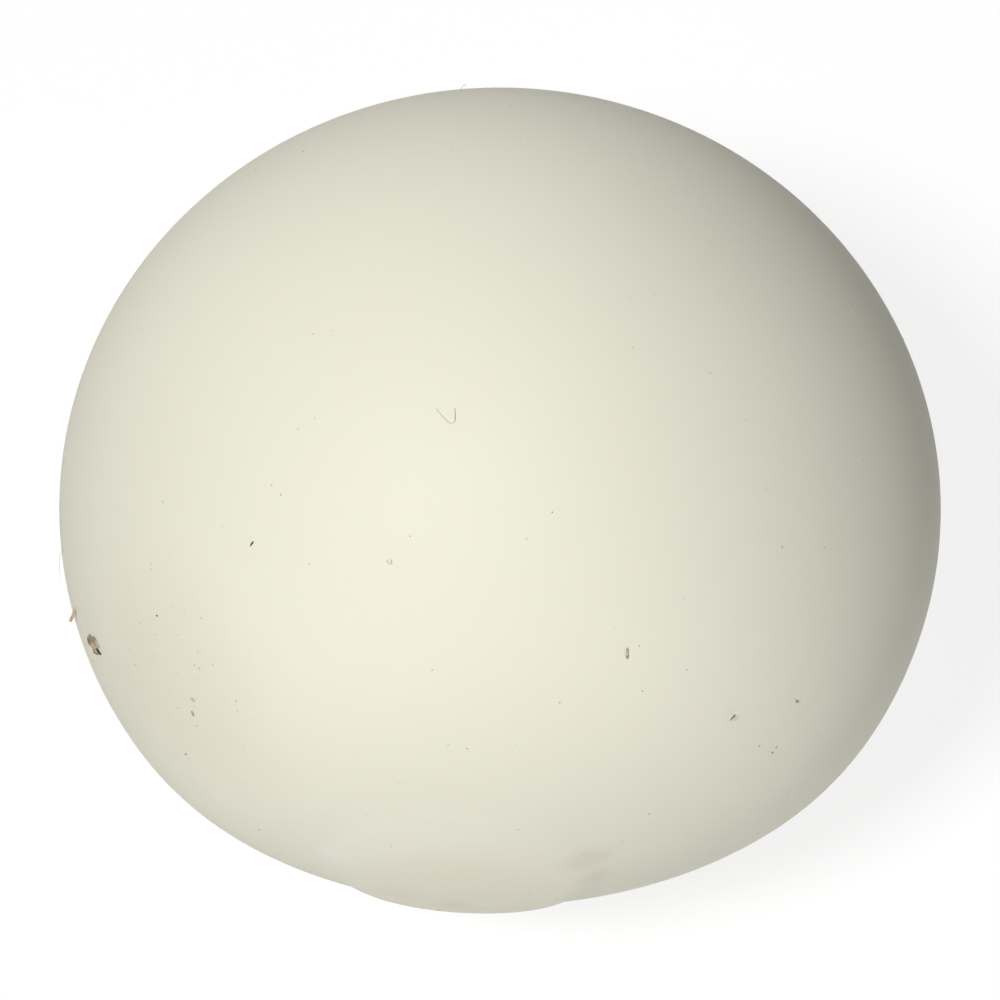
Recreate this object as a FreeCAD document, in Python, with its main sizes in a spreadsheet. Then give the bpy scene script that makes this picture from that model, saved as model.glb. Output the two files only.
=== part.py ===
import FreeCAD, Part
import math
import os
import Sketcher

# A table tennis ball: two stamped celluloid half shells, lapped at the seam and cemented on the inside.
# The ball has gone out of round, and one pole is pressed flat with a low round boss standing on the flat.
# The Y axis is the ball's own axis, the seam starts in the plane y = 0, and the boss is at the -Y end.
# The origin is the centre of the seam, and the ball rests on the seam's lowest point, with +Z up.

# Every size that can be set by itself: alias, millimetres or degrees, meaning.
SIZES = (
    ("equator_radius", 20.4, "from the ball's axis to the outer face at the seam"),
    ("pole_shortfall", 1.05, "how much nearer to the centre the sound pole is than the equator"),
    ("wall_at_seam", 0.4, "celluloid thickness at the equator"),
    ("wall_at_pole", 0.37, "celluloid thickness at the poles, where the sheet was stretched most"),
    ("tongue_wall", 0.2, "thickness of the plain half's tongue, which lies inside the other half's lip"),
    ("lap_length", 0.8, "how far the halves overlap along the axis"),
    ("flat_depth", 1.56, "how far the flattened pole has gone in"),
    ("cap_excess", 7.4, "how much the flattened cap's radius of curvature exceeds the equator's radius"),
    ("shoulder_radius", 13.0, "rounding where the flattened cap runs into the sound shell"),
    ("boss_offset", 1.4, "distance of the boss's centre from the ball's axis, towards -X"),
    ("boss_radius", 5.75, "radius of the boss's top"),
    ("boss_height", 0.66, "how far the boss stands above the flattened cap"),
    ("step_slope", 50.0, "slope of the boss's side, in degrees from the cap"),
    ("bend_radius", 0.22, "inner radius of each bend at the boss's side"),
    ("bead_width", 1.8, "width of the cement bead on the inner face"),
    ("bead_height", 0.3, "height of the cement bead above the inner face"),
)

UP = FreeCAD.Vector(0, 0, 1)
START, END, MIDDLE = 1, 2, 3  # the named points of a sketch curve
AXES_ORIGIN = (-1, START)
X_AXIS, Y_AXIS = -1, -2
QUARTER = math.pi / 2
SAME = 1e-6  # millimetres: radii closer than this are the same radius

doc = FreeCAD.newDocument("TableTennisBall")
sheet = doc.addObject("Spreadsheet::Sheet", "Sizes")
for row, (alias, value, meaning) in enumerate(SIZES, start=1):
    sheet.set(f"A{row}", meaning)
    sheet.set(f"B{row}", str(value))
    sheet.setAlias(f"B{row}", alias)
doc.recompute()

# The formulas that several pieces share. Pieces that meet are bound to the same formula.
# A meridian is an oval of two arcs: the side arc about a point on the X axis, and the crown arc about a
# point on the Y axis. They run into each other at 45 degrees, which puts both points equally far out.
FORMULAS = {
    "equator": "Sizes.equator_radius",
    "pole": "(Sizes.equator_radius - Sizes.pole_shortfall)",
    "side_centre": "(Sizes.pole_shortfall / (2 - sqrt(2)))",
    "inner_equator": "(Sizes.equator_radius - Sizes.wall_at_seam)",
    "inner_pole": "(Sizes.equator_radius - Sizes.pole_shortfall - Sizes.wall_at_pole)",
    "inner_side_centre": "((Sizes.pole_shortfall - Sizes.wall_at_seam + Sizes.wall_at_pole) / (2 - sqrt(2)))",
    "inner_side_radius": "(Sizes.equator_radius - Sizes.wall_at_seam"
    " - (Sizes.pole_shortfall - Sizes.wall_at_seam + Sizes.wall_at_pole) / (2 - sqrt(2)))",
    "lap_face": "(Sizes.equator_radius - Sizes.wall_at_seam + Sizes.tongue_wall)",
    "lap_length": "Sizes.lap_length",
    "cap": "(Sizes.equator_radius + Sizes.cap_excess)",
    "inner_cap": "(Sizes.equator_radius + Sizes.cap_excess - Sizes.wall_at_pole)",
    "cap_centre": "(Sizes.cap_excess + Sizes.flat_depth + Sizes.pole_shortfall)",
    "boss_offset": "Sizes.boss_offset",
    "boss_top": "(Sizes.equator_radius + Sizes.cap_excess + Sizes.boss_height)",
    "boss_foot": "(Sizes.equator_radius + Sizes.cap_excess - Sizes.wall_at_pole / 2)",
    "boss_rim": "Sizes.boss_radius",
    "hollow_top": "(Sizes.equator_radius + Sizes.cap_excess + Sizes.boss_height - Sizes.wall_at_pole)",
    "hollow_foot": "(Sizes.equator_radius + Sizes.cap_excess - 2 * Sizes.wall_at_pole)",
    "hollow_rim": "(Sizes.boss_radius - Sizes.wall_at_pole * tan(Sizes.step_slope * 1 deg / 2))",
    "side_angle": "(90 - Sizes.step_slope)",
    "bead_low": "(Sizes.lap_length + Sizes.bead_width / 2)",
    "bead_high": "(Sizes.bead_width / 2 - Sizes.lap_length)",
    "bead_curve": "((Sizes.bead_width ^ 2 / 4 + Sizes.bead_height ^ 2) / (2 * Sizes.bead_height))",
    "shoulder": "Sizes.shoulder_radius",
    "inner_shoulder": "(Sizes.shoulder_radius - Sizes.wall_at_pole)",
    "tight_bend": "Sizes.bend_radius",
    "wide_bend": "(Sizes.bend_radius + Sizes.wall_at_pole)",
}


def value_of(name):
    """The present value of a shared formula, as a plain number."""
    result = sheet.evalExpression(FORMULAS[name])
    return float(getattr(result, "Value", result))


def bind(sketch, constraint_type, where, name, sign=1):
    """Adds a dimension to a sketch and binds it to the shared formula called name."""
    number = value_of(name) * sign
    if constraint_type == "Angle":
        number = math.radians(number)
    index = sketch.addConstraint(Sketcher.Constraint(constraint_type, *where, number))
    label = f"{name}_{index}"
    sketch.renameConstraint(index, label)
    sketch.setExpression(f"Constraints.{label}", FORMULAS[name] if sign > 0 else f"-{FORMULAS[name]}")


def tie(sketch, constraint_type, *where):
    """Adds a constraint that has no size of its own."""
    sketch.addConstraint(Sketcher.Constraint(constraint_type, *where))


def new_body(name):
    """A body whose label is the name of the piece and of its file."""
    body = doc.addObject("PartDesign::Body", name)
    body.Label = name
    body.Placement = FreeCAD.Placement()
    return body


def new_sketch(body, name):
    """A sketch in the body's own XY plane, which holds the ball's axis."""
    sketch = body.newObject("Sketcher::SketchObject", name)
    plane = next(item for item in body.Origin.OriginFeatures if item.Role == "XY_Plane")
    sketch.AttachmentSupport = (plane, "")
    sketch.MapMode = "FlatFace"
    return sketch


def line(sketch, start, end):
    """A straight line between two points of the sketch plane."""
    return sketch.addGeometry(Part.LineSegment(start, end))


def circle_arc(sketch, centre, radius, start, end):
    """An arc of a circle, from angle start to angle end, anticlockwise."""
    return sketch.addGeometry(Part.ArcOfCircle(Part.Circle(centre, UP, radius), start, end))


def revolve(body, kind, name, sketch, axis):
    """A full turn of a sketch about one of its axes: adds for a Revolution, cuts for a Groove."""
    feature = body.newObject(f"PartDesign::{kind}", name)
    feature.Profile = sketch
    feature.ReferenceAxis = (sketch, [axis])
    feature.Angle = 360
    sketch.Visibility = False
    doc.recompute()
    if kind == "Groove" and feature.Shape.Volume >= feature.BaseFeature.Shape.Volume:
        raise RuntimeError(f"{name} cut nothing")
    return feature


def crossing(first, first_radius, second, second_radius):
    """The outer one of the two points at those distances from first and from second."""
    apart = second - first
    gap = apart.Length
    along = (gap ** 2 + first_radius ** 2 - second_radius ** 2) / (2 * gap)
    across = math.sqrt(first_radius ** 2 - along ** 2)
    unit = apart * (1 / gap)
    foot = first + unit * along
    points = [foot + FreeCAD.Vector(-unit.y, unit.x, 0) * (turn * across) for turn in (1, -1)]
    return max(points, key=lambda point: point.x)


def direction(start, end):
    """The angle of the line from start to end, from the X axis."""
    return math.atan2(end.y - start.y, end.x - start.x)


def side_arc(sketch, side, low, high):
    """The stretch of a half shell's side arc between two heights; side is "" or "inner_"."""
    centre_x = value_of(f"{side}side_centre")
    radius = value_of(f"{side}equator") - centre_x
    centre = FreeCAD.Vector(centre_x, 0, 0)
    arc = circle_arc(sketch, centre, radius, math.asin(low / radius), math.asin(high / radius))
    tie(sketch, "PointOnObject", arc, MIDDLE, X_AXIS)
    bind(sketch, "DistanceX", (*AXES_ORIGIN, arc, MIDDLE), f"{side}side_centre")
    return arc


def whole_meridian(sketch, side, low):
    """Side arc and crown arc of the sound half, from the height called low up to the pole."""
    reach = value_of(f"{side}side_centre")
    joint = (value_of(f"{side}equator") - reach) * math.sin(QUARTER / 2)
    arc = side_arc(sketch, side, low, joint)
    centre = FreeCAD.Vector(0, -reach, 0)
    crown = circle_arc(sketch, centre, value_of(f"{side}pole") + reach, QUARTER / 2, QUARTER)
    tie(sketch, "Tangent", crown, START, arc, END)
    tie(sketch, "PointOnObject", crown, MIDDLE, Y_AXIS)
    tie(sketch, "PointOnObject", crown, END, Y_AXIS)
    bind(sketch, "DistanceY", (*AXES_ORIGIN, crown, END), f"{side}pole")
    return arc, crown


def half_lap(sketch, outer, outer_point, inner, inner_point):
    """Closes a section at the seam with the step that both halves share: butt, lap face, butt."""
    outer_x = value_of("equator")
    lap_x = value_of("lap_face")
    lap_y = -value_of("lap_length")
    reach = value_of("inner_side_centre")
    inner_x = reach + math.sqrt((value_of("inner_equator") - reach) ** 2 - lap_y ** 2)
    outer_butt = line(sketch, FreeCAD.Vector(outer_x, 0, 0), FreeCAD.Vector(lap_x, 0, 0))
    lap_face = line(sketch, FreeCAD.Vector(lap_x, 0, 0), FreeCAD.Vector(lap_x, lap_y, 0))
    inner_butt = line(sketch, FreeCAD.Vector(lap_x, lap_y, 0), FreeCAD.Vector(inner_x, lap_y, 0))
    tie(sketch, "Coincident", outer, outer_point, outer_butt, START)
    tie(sketch, "Coincident", outer_butt, END, lap_face, START)
    tie(sketch, "Coincident", lap_face, END, inner_butt, START)
    tie(sketch, "Coincident", inner_butt, END, inner, inner_point)
    tie(sketch, "PointOnObject", outer_butt, END, X_AXIS)
    tie(sketch, "PointOnObject", outer_butt, START, X_AXIS)
    tie(sketch, "Vertical", lap_face)
    tie(sketch, "Horizontal", inner_butt)
    bind(sketch, "DistanceX", (*AXES_ORIGIN, outer_butt, START), "equator")
    bind(sketch, "DistanceX", (*AXES_ORIGIN, lap_face, START), "lap_face")
    bind(sketch, "DistanceY", (lap_face, END, lap_face, START), "lap_length")


def make_plain_half_shell():
    """The sound half, on the +Y side, with the tongue that reaches into the other half."""
    body = new_body("plain_half_shell")
    sketch = new_sketch(body, "PlainSection")
    outer, outer_crown = whole_meridian(sketch, "", 0)
    inner, inner_crown = whole_meridian(sketch, "inner_", -value_of("lap_length"))
    top = FreeCAD.Vector(0, value_of("pole"), 0)
    under_top = FreeCAD.Vector(0, value_of("inner_pole"), 0)
    pole_wall = line(sketch, top, under_top)
    tie(sketch, "Coincident", outer_crown, END, pole_wall, START)
    tie(sketch, "Coincident", inner_crown, END, pole_wall, END)
    half_lap(sketch, outer, START, inner, START)
    bind(sketch, "Radius", (inner,), "inner_side_radius")
    revolve(body, "Revolution", "PlainShell", sketch, "V_Axis")
    return body


def flattened_meridian(sketch, side, cap_name, shoulder_name, high):
    """Cap arc, shoulder arc and side arc of the flattened half, from the pole up to that height."""
    reach = FreeCAD.Vector(value_of(f"{side}side_centre"), 0, 0)
    side_radius = value_of(f"{side}equator") - reach.x
    cap_centre = FreeCAD.Vector(0, value_of("cap_centre"), 0)
    cap_radius = value_of(cap_name)
    shoulder_radius = value_of(shoulder_name)
    to_side = side_radius - shoulder_radius
    to_cap = cap_radius - shoulder_radius
    shoulder_centre = crossing(reach, to_side, cap_centre, to_cap)
    low_end = direction(cap_centre, shoulder_centre)
    high_end = direction(reach, shoulder_centre)
    arc = side_arc(sketch, side, side_radius * math.sin(high_end), high)
    shoulder = circle_arc(sketch, shoulder_centre, shoulder_radius, low_end, high_end)
    cap = circle_arc(sketch, cap_centre, cap_radius, -QUARTER, low_end)
    tie(sketch, "Tangent", shoulder, END, arc, START)
    tie(sketch, "Tangent", shoulder, START, cap, END)
    tie(sketch, "PointOnObject", cap, MIDDLE, Y_AXIS)
    tie(sketch, "PointOnObject", cap, START, Y_AXIS)
    bind(sketch, "DistanceY", (*AXES_ORIGIN, cap, MIDDLE), "cap_centre")
    bind(sketch, "Radius", (cap,), cap_name)
    bind(sketch, "Radius", (shoulder,), shoulder_name)
    return arc, cap


def boss_outline(sketch, top_name, foot_name, rim_name):
    """Half of the boss's section beside its own axis, which stands square on the flattened cap."""
    top = value_of(top_name)
    foot = value_of(foot_name)
    rim = value_of(rim_name)
    centre = FreeCAD.Vector(0, value_of("cap_centre"), 0)
    tilt = math.asin(value_of("boss_offset") / value_of("cap"))
    slope = math.radians(90 - value_of("side_angle"))
    axis_angle = -QUARTER - tilt
    rim_angle = math.asin(rim / top)
    run = (top * math.cos(rim_angle) - foot) / math.tan(slope)
    foot_angle = math.asin((rim + run) / foot)

    def at(radius, angle):
        return centre + FreeCAD.Vector(radius * math.cos(angle), radius * math.sin(angle), 0)

    axis = line(sketch, centre, at(value_of("cap"), axis_angle))
    sketch.setConstruction(axis, True)
    dome = circle_arc(sketch, centre, top, axis_angle, axis_angle + rim_angle)
    side = line(sketch, at(top, axis_angle + rim_angle), at(foot, axis_angle + foot_angle))
    floor = circle_arc(sketch, centre, foot, axis_angle, axis_angle + foot_angle)
    core = line(sketch, at(foot, axis_angle), at(top, axis_angle))
    tie(sketch, "PointOnObject", axis, START, Y_AXIS)
    bind(sketch, "DistanceY", (*AXES_ORIGIN, axis, START), "cap_centre")
    bind(sketch, "DistanceX", (axis, END, axis, START), "boss_offset")
    bind(sketch, "Distance", (axis,), "cap")
    tie(sketch, "Coincident", dome, MIDDLE, axis, START)
    tie(sketch, "Coincident", floor, MIDDLE, axis, START)
    tie(sketch, "PointOnObject", core, START, axis)
    tie(sketch, "PointOnObject", core, END, axis)
    tie(sketch, "Coincident", core, START, floor, START)
    tie(sketch, "Coincident", core, END, dome, START)
    tie(sketch, "Coincident", dome, END, side, START)
    tie(sketch, "Coincident", side, END, floor, END)
    bind(sketch, "Radius", (dome,), top_name)
    bind(sketch, "Radius", (floor,), foot_name)
    bind(sketch, "Distance", (side, START, axis), rim_name)
    bind(sketch, "Angle", (side, END, axis, START), "side_angle")


def side_edges(feature, radius):
    """The names of the edges where a sphere of that radius meets the boss's side, which is a cone."""
    found = []
    for index, edge in enumerate(feature.Shape.Edges, start=1):
        surfaces = [face.Surface for face in feature.Shape.ancestorsOfType(edge, Part.Face)]
        spheres = [surface for surface in surfaces if isinstance(surface, Part.Sphere)]
        cones = [surface for surface in surfaces if isinstance(surface, Part.Cone)]
        if cones and any(abs(sphere.Radius - radius) < SAME for sphere in spheres):
            found.append(f"Edge{index}")
    return found


def bend(body, name, feature, sphere_names, radius_name):
    """Rounds the edges where the named spheres meet the boss's side."""
    edges = []
    for sphere_name in sphere_names:
        edges += side_edges(feature, value_of(sphere_name))
    if len(edges) != len(sphere_names):
        raise RuntimeError(f"{name} found {len(edges)} edges for {len(sphere_names)} corners")
    rounding = body.newObject("PartDesign::Fillet", name)
    rounding.Base = (feature, edges)
    rounding.setExpression("Radius", FORMULAS[radius_name])
    doc.recompute()
    return rounding


def make_dented_half_shell():
    """The half on the -Y side: lip at the seam, flattened pole, and the boss, of one wall all over."""
    body = new_body("dented_half_shell")
    sketch = new_sketch(body, "DentedSection")
    lap_end = -value_of("lap_length")
    outer, outer_cap = flattened_meridian(sketch, "", "cap", "shoulder", 0)
    inner, inner_cap = flattened_meridian(sketch, "inner_", "inner_cap", "inner_shoulder", lap_end)
    pole_height = value_of("cap_centre")
    pole = FreeCAD.Vector(0, pole_height - value_of("cap"), 0)
    over_pole = FreeCAD.Vector(0, pole_height - value_of("inner_cap"), 0)
    pole_wall = line(sketch, pole, over_pole)
    tie(sketch, "Coincident", outer_cap, START, pole_wall, START)
    tie(sketch, "Coincident", inner_cap, START, pole_wall, END)
    half_lap(sketch, outer, END, inner, END)
    bind(sketch, "Radius", (inner,), "inner_side_radius")
    revolve(body, "Revolution", "DentedShell", sketch, "V_Axis")
    boss_sketch = new_sketch(body, "BossOutline")
    boss_outline(boss_sketch, "boss_top", "boss_foot", "boss_rim")
    revolve(body, "Revolution", "Boss", boss_sketch, "Axis0")
    hollow_sketch = new_sketch(body, "HollowOutline")
    boss_outline(hollow_sketch, "hollow_top", "hollow_foot", "hollow_rim")
    hollow = revolve(body, "Groove", "BossHollow", hollow_sketch, "Axis0")
    bent = bend(body, "WideBends", hollow, ["boss_top", "inner_cap"], "wide_bend")
    bend(body, "TightBends", bent, ["hollow_top", "cap"], "tight_bend")
    return body


def make_seam_cement():
    """The bead of cement inside the seam, over the joint of the two halves' inner faces."""
    body = new_body("seam_cement")
    sketch = new_sketch(body, "BeadSection")
    low = -value_of("bead_low")
    high = value_of("bead_high")
    curve = value_of("bead_curve")
    against_wall = side_arc(sketch, "inner_", low, high)
    bind(sketch, "Radius", (against_wall,), "inner_side_radius")
    half_width = (high - low) / 2
    spread = math.asin(half_width / curve)
    wall_x = value_of("inner_equator")
    middle = FreeCAD.Vector(wall_x + math.sqrt(curve ** 2 - half_width ** 2), -value_of("lap_length"), 0)
    bulge = circle_arc(sketch, middle, curve, math.pi - spread, math.pi + spread)
    tie(sketch, "Coincident", bulge, START, against_wall, END)
    tie(sketch, "Coincident", bulge, END, against_wall, START)
    bind(sketch, "DistanceY", (*AXES_ORIGIN, bulge, START), "bead_high")
    bind(sketch, "DistanceY", (*AXES_ORIGIN, bulge, END), "bead_low", sign=-1)
    bind(sketch, "Radius", (bulge,), "bead_curve")
    revolve(body, "Revolution", "Bead", sketch, "V_Axis")
    return body


def check(pieces):
    """Stops if any object of the document failed, or if a piece isn't one valid solid."""
    doc.recompute()
    for item in doc.Objects:
        if "Invalid" in item.State or "Error" in item.State:
            raise RuntimeError(f"{item.Name} did not compute: {item.State}")
    for piece in pieces:
        shape = piece.Shape
        if shape.isNull() or not shape.isValid() or len(shape.Solids) != 1 or shape.Volume <= 0:
            raise RuntimeError(f"{piece.Label} is not one valid solid")


pieces = [make_plain_half_shell(), make_dented_half_shell(), make_seam_cement()]
check(pieces)
os.makedirs("parts", exist_ok=True)
for piece in pieces:
    box = piece.Shape.BoundBox
    print(f"{piece.Label}: {piece.Shape.Volume:.1f} mm3, y {box.YMin:.2f} to {box.YMax:.2f}")
    piece.Shape.exportStep(f"parts/{piece.Label}.step")
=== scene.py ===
# %% [markdown]
# # A celluloid table tennis ball, used and found again
# The ball is two stamped half shells, lapped and cemented at the seam. It has gone a little out of round,
# one pole is pressed flat, and on the flat stands a low round boss: a dent that was popped back out.
# The frame that the design made is loaded first, and everything here is measured from it.

# %% Load the frame
import math
import random

import bmesh
import bpy
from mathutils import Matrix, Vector
from mathutils.noise import noise as math_noise


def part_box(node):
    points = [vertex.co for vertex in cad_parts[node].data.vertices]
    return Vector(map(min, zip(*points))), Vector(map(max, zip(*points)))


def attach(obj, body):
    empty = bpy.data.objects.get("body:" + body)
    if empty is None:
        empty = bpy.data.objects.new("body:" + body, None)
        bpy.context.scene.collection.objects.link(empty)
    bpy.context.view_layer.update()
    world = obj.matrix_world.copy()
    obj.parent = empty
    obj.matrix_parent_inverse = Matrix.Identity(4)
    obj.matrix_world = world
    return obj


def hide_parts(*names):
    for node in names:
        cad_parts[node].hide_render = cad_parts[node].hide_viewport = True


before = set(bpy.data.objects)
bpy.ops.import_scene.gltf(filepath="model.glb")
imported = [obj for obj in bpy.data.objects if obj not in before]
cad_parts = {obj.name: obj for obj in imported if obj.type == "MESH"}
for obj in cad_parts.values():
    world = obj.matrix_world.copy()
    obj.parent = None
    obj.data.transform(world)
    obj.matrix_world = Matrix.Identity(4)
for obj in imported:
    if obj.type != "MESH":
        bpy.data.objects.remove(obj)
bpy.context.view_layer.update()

MM = 0.001
print("nodes:", sorted(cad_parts))

# %% [markdown]
# ## Sizes
# The seam circle, the sound pole and the top of the boss are read from the frame's boxes. What a box can't
# tell, such as the wall or how wide the boss is, has a named value here, the same as in the design.

# %% Measure the frame
plain_low, plain_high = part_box("plain_half_shell")
dented_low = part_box("dented_half_shell")[0]
EQUATOR = plain_high.x
POLE = plain_high.y
BOSS_REACH = -dented_low.y
LAP_LENGTH = -plain_low.y
print(f"from the centre: equator {EQUATOR / MM:.2f}, pole {POLE / MM:.2f}, boss {BOSS_REACH / MM:.2f} mm")

# %% Sizes that a box doesn't show
WALL_AT_SEAM = 0.40 * MM
WALL_AT_POLE = 0.37 * MM
TONGUE_WALL = 0.20 * MM
CAP_RADIUS = EQUATOR + 7.4 * MM
BOSS_RISE = 0.55 * MM
CAP_CENTRE = CAP_RADIUS - (BOSS_REACH - BOSS_RISE)
BOSS_X = -1.5 * MM
BOSS_Z = -1.6 * MM
BOSS_RADIUS = 5.9 * MM
print(f"flat: radius {CAP_RADIUS / MM:.1f} mm about a point {CAP_CENTRE / MM:.1f} mm past the centre")

# %% [markdown]
# ## Formulas as nodes
# A rule such as the radius of an ellipsoid is a dozen Math nodes. This small class makes those nodes from
# ordinary arithmetic, so the rules below read as formulas, in Geometry Nodes and in materials alike.


# %% A number in a node tree
class Number:
    """A number that nodes work out. Arithmetic on it adds Math nodes to its tree."""

    def __init__(self, tree, socket):
        self.tree = tree
        self.socket = socket

    def step(self, operation, *values):
        node = self.tree.nodes.new("ShaderNodeMath")
        node.operation = operation
        for place, value in zip(node.inputs, values):
            feed(self.tree, place, value)
        return Number(self.tree, node.outputs[0])

    def __add__(self, other):
        return self.step("ADD", self, other)

    def __radd__(self, other):
        return self.step("ADD", other, self)

    def __sub__(self, other):
        return self.step("SUBTRACT", self, other)

    def __rsub__(self, other):
        return self.step("SUBTRACT", other, self)

    def __mul__(self, other):
        return self.step("MULTIPLY", self, other)

    def __rmul__(self, other):
        return self.step("MULTIPLY", other, self)

    def __truediv__(self, other):
        return self.step("DIVIDE", self, other)

    def __rtruediv__(self, other):
        return self.step("DIVIDE", other, self)


def feed(tree, place, value):
    """Links a socket to an input, or writes a plain value there."""
    if isinstance(value, Number):
        value = value.socket
    if isinstance(value, bpy.types.NodeSocket):
        tree.links.new(value, place)
    else:
        place.default_value = value


# %% Vectors, smooth steps and noise
def vector_step(tree, operation, *values):
    """One Vector Math node: returns its vector, or its number where the operation gives one."""
    node = tree.nodes.new("ShaderNodeVectorMath")
    node.operation = operation
    for place, value in zip(node.inputs, values):
        feed(tree, place, value)
    if operation in {"DOT_PRODUCT", "LENGTH", "DISTANCE"}:
        return Number(tree, node.outputs["Value"])
    return node.outputs["Vector"]


def scaled(tree, vector, factor):
    """A vector times a number."""
    node = tree.nodes.new("ShaderNodeVectorMath")
    node.operation = "SCALE"
    feed(tree, node.inputs[0], vector)
    feed(tree, node.inputs["Scale"], factor)
    return node.outputs["Vector"]


def smooth_step(tree, value, zero_at, one_at):
    """Runs smoothly from 0 where value is zero_at to 1 where it is one_at."""
    node = tree.nodes.new("ShaderNodeMapRange")
    node.interpolation_type = "SMOOTHSTEP"
    feed(tree, node.inputs["Value"], value)
    feed(tree, node.inputs["From Min"], zero_at)
    feed(tree, node.inputs["From Max"], one_at)
    return Number(tree, node.outputs["Result"])


def noise(tree, vector, scale, detail=2.0, roughness=0.5):
    """Smooth noise from 0 to 1, with that many waves to each unit of the vector."""
    node = tree.nodes.new("ShaderNodeTexNoise")
    feed(tree, node.inputs["Vector"], vector)
    node.inputs["Scale"].default_value = scale
    node.inputs["Detail"].default_value = detail
    node.inputs["Roughness"].default_value = roughness
    return Number(tree, node.outputs[0])


def combined(tree, x, y, z):
    """A vector from three numbers."""
    node = tree.nodes.new("ShaderNodeCombineXYZ")
    for place, value in zip(node.inputs, (x, y, z)):
        feed(tree, place, value)
    return node.outputs[0]


def split(tree, vector):
    """The three numbers of a vector."""
    node = tree.nodes.new("ShaderNodeSeparateXYZ")
    feed(tree, node.inputs[0], vector)
    return [Number(tree, socket) for socket in node.outputs]


# %% A node group with named inputs
FLOAT = "NodeSocketFloat"
VECTOR = "NodeSocketVector"
GEOMETRY = "NodeSocketGeometry"


def new_tree(name, kind, inputs, outputs):
    """An empty node group: returns the tree, its inputs by name, and its output node."""
    tree = bpy.data.node_groups.new(name, kind)
    for label, socket_kind, value in inputs:
        socket = tree.interface.new_socket(name=label, in_out="INPUT", socket_type=socket_kind)
        if value is not None:
            socket.default_value = value
    for label, socket_kind in outputs:
        tree.interface.new_socket(name=label, in_out="OUTPUT", socket_type=socket_kind)
    source = tree.nodes.new("NodeGroupInput")
    sink = tree.nodes.new("NodeGroupOutput")
    given = {label: source.outputs[label] for label, socket_kind, value in inputs}
    return tree, given, sink


def numbers(tree, given, *labels):
    """Those inputs of a group as numbers."""
    return [Number(tree, given[label]) for label in labels]


# %% [markdown]
# ## The skin of the ball
# A skin is where a ray from the centre leaves the ball. Three rules make it: an ellipsoid for the whole ball,
# a larger sphere that cuts the -Y pole flat, with a smooth minimum for the shoulder between them, and the
# boss, which lifts the flat by a step round an axis of its own. The boss is a dent that sprang back: it
# stands highest below, where its step is steep, and above it dies away over some millimetres, where only a
# fine fold line is left. The outer and the inner face are the same rule with different sizes, so the rule is
# a node group. A slow unevenness goes over it all, because celluloid that was pushed in never comes back
# quite true.

# %% Named inputs of the skin rule
SKIN_INPUTS = (
    ("Direction", VECTOR, None),
    ("Equator", FLOAT, EQUATOR),
    ("Pole", FLOAT, POLE),
    ("Cap radius", FLOAT, CAP_RADIUS),
    ("Cap centre", FLOAT, CAP_CENTRE),
    ("Cap lean X", FLOAT, -0.025),
    ("Cap lean Z", FLOAT, 0.02),
    ("Shoulder blend", FLOAT, 1.6 * MM),
    ("Boss X", FLOAT, BOSS_X),
    ("Boss Z", FLOAT, BOSS_Z),
    ("Boss radius", FLOAT, BOSS_RADIUS),
    ("Radius change", FLOAT, -0.2 * MM),
    ("Boss height", FLOAT, 0.30 * MM),
    ("Boss tilt", FLOAT, 0.4),
    ("Boss hollow", FLOAT, 0.4),
    ("Upper step", FLOAT, 4.3 * MM),
    ("Lower step", FLOAT, 0.6 * MM),
    ("Fold height", FLOAT, 0.03 * MM),
    ("Crease depth", FLOAT, 0.05 * MM),
    ("Unevenness", FLOAT, 0.01 * MM),
)


def square_root(value):
    return value.step("SQRT", value)


def cap_centre(tree, given):
    """The middle of the sphere that the flat is part of, leaned a little off the Y axis."""
    distance, lean_x, lean_z = numbers(tree, given, "Cap centre", "Cap lean X", "Cap lean Z")
    upright = square_root(1.0 - lean_x * lean_x - lean_z * lean_z)
    return combined(tree, lean_x * distance, upright * distance, lean_z * distance)


def ball_radius(tree, given, centre):
    """The length of the ray to the ellipsoid or to the flat, whichever is nearer, blended."""
    direction = given["Direction"]
    y = split(tree, direction)[1]
    equator, pole, cap, far = numbers(tree, given, "Equator", "Pole", "Cap radius", "Cap centre")
    squares = (1.0 - y * y) / (equator * equator) + y * y / (pole * pole)
    ellipsoid = 1.0 / square_root(squares)
    towards = vector_step(tree, "DOT_PRODUCT", direction, centre)
    flat = towards + square_root(towards * towards + cap * cap - far * far)
    return flat.step("SMOOTH_MIN", ellipsoid, flat, given["Shoulder blend"])


# %% The boss, as a height over the flat
def boss_places(tree, given, outward):
    """For a point of the flat: the distance from the boss's axis, and its two offsets from it."""
    cap, at_x, at_z = numbers(tree, given, "Cap radius", "Boss X", "Boss Z")
    lean_x = at_x / cap
    lean_z = at_z / cap
    upright = square_root(1.0 - lean_x * lean_x - lean_z * lean_z)
    axis = combined(tree, lean_x, 0.0 - upright, lean_z)
    apart = scaled(tree, vector_step(tree, "SUBTRACT", outward, axis), cap)
    off_x, _, off_z = split(tree, apart)
    return vector_step(tree, "LENGTH", apart), off_x, off_z


def boss_lift(tree, given, away, up_share):
    """The height of the boss: a tilted, slightly hollow plate with a step round it."""
    radius, change, height = numbers(tree, given, "Boss radius", "Radius change", "Boss height")
    tilt, hollow = numbers(tree, given, "Boss tilt", "Boss hollow")
    upper, lower = numbers(tree, given, "Upper step", "Lower step")
    width = lower + (upper - lower) * (up_share * 0.5 + 0.5)
    edge = radius + change * up_share
    step = smooth_step(tree, away, edge + width * 0.5, edge - width * 0.5)
    share = away / radius
    return step * height * (1.0 - tilt * up_share * share - hollow * (1.0 - share * share))


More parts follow.
